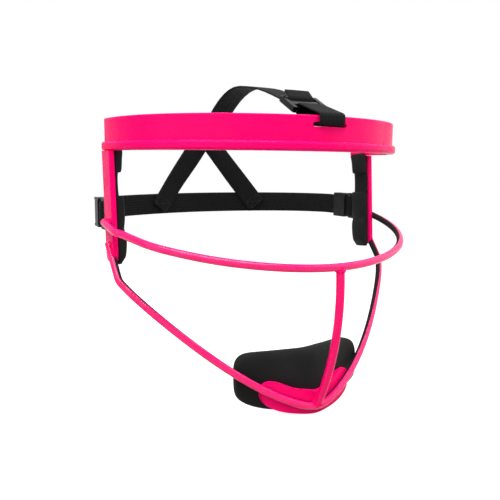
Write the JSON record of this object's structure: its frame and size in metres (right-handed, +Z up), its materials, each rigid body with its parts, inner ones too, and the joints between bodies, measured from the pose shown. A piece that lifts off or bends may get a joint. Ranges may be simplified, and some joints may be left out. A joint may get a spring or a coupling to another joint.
{
  "type": "softball face guard",
  "caption": "Open-crown fielder's face guard: brow band on side arms, wire cage with a padded chin cup, and an adjustable webbing head harness.",
  "frame": {"origin": "centre of the head opening, level with the lower rear corners of the brow band", "axes": "+X to the wearer's left, -Y out of the face, +Z up"},
  "size_m": [0.1798, 0.1552, 0.1769],
  "materials": {
    "shell": "gloss",
    "painted_steel": "gloss",
    "rivet_steel": "satin",
    "foam": "matte",
    "nylon": "satin",
    "buckle_plastic": "gloss",
    "webbing": "woven"
  },
  "bodies": {
    "guard": {"brow_shell": "shell", "brow_pad_left": "foam", "brow_pad_centre": "foam", "brow_pad_right": "foam", "left_arm": "painted_steel", "right_arm": "painted_steel", "arm_rivets": "rivet_steel", "lug_rivets": "rivet_steel", "cheek_wire": "painted_steel", "jaw_wire": "painted_steel", "centre_bar": "painted_steel", "chin_carrier": "shell", "chin_pad": "foam", "chin_studs": "nylon", "left_side_pad": "foam", "right_side_pad": "foam", "left_lug": "nylon", "right_lug": "nylon", "back_strap": "webbing", "v_strap_left": "webbing", "v_strap_right": "webbing", "crown_strap": "webbing", "front_loop": "webbing", "front_buckle": "buckle_plastic"},
    "slide_left": {"left_slide": "nylon"},
    "slide_right": {"right_slide": "nylon"}
  },
  "joints": [
    {"name": "left_strap_slide", "type": "slide", "parent": "guard", "child": "slide_left", "axis": [-0.0815, 0.9929, 0.0869], "range_m": [0, 0.004]},
    {"name": "right_strap_slide", "type": "slide", "parent": "guard", "child": "slide_right", "axis": [0.0815, 0.9929, 0.0869], "range_m": [0, 0.004]}
  ]
}
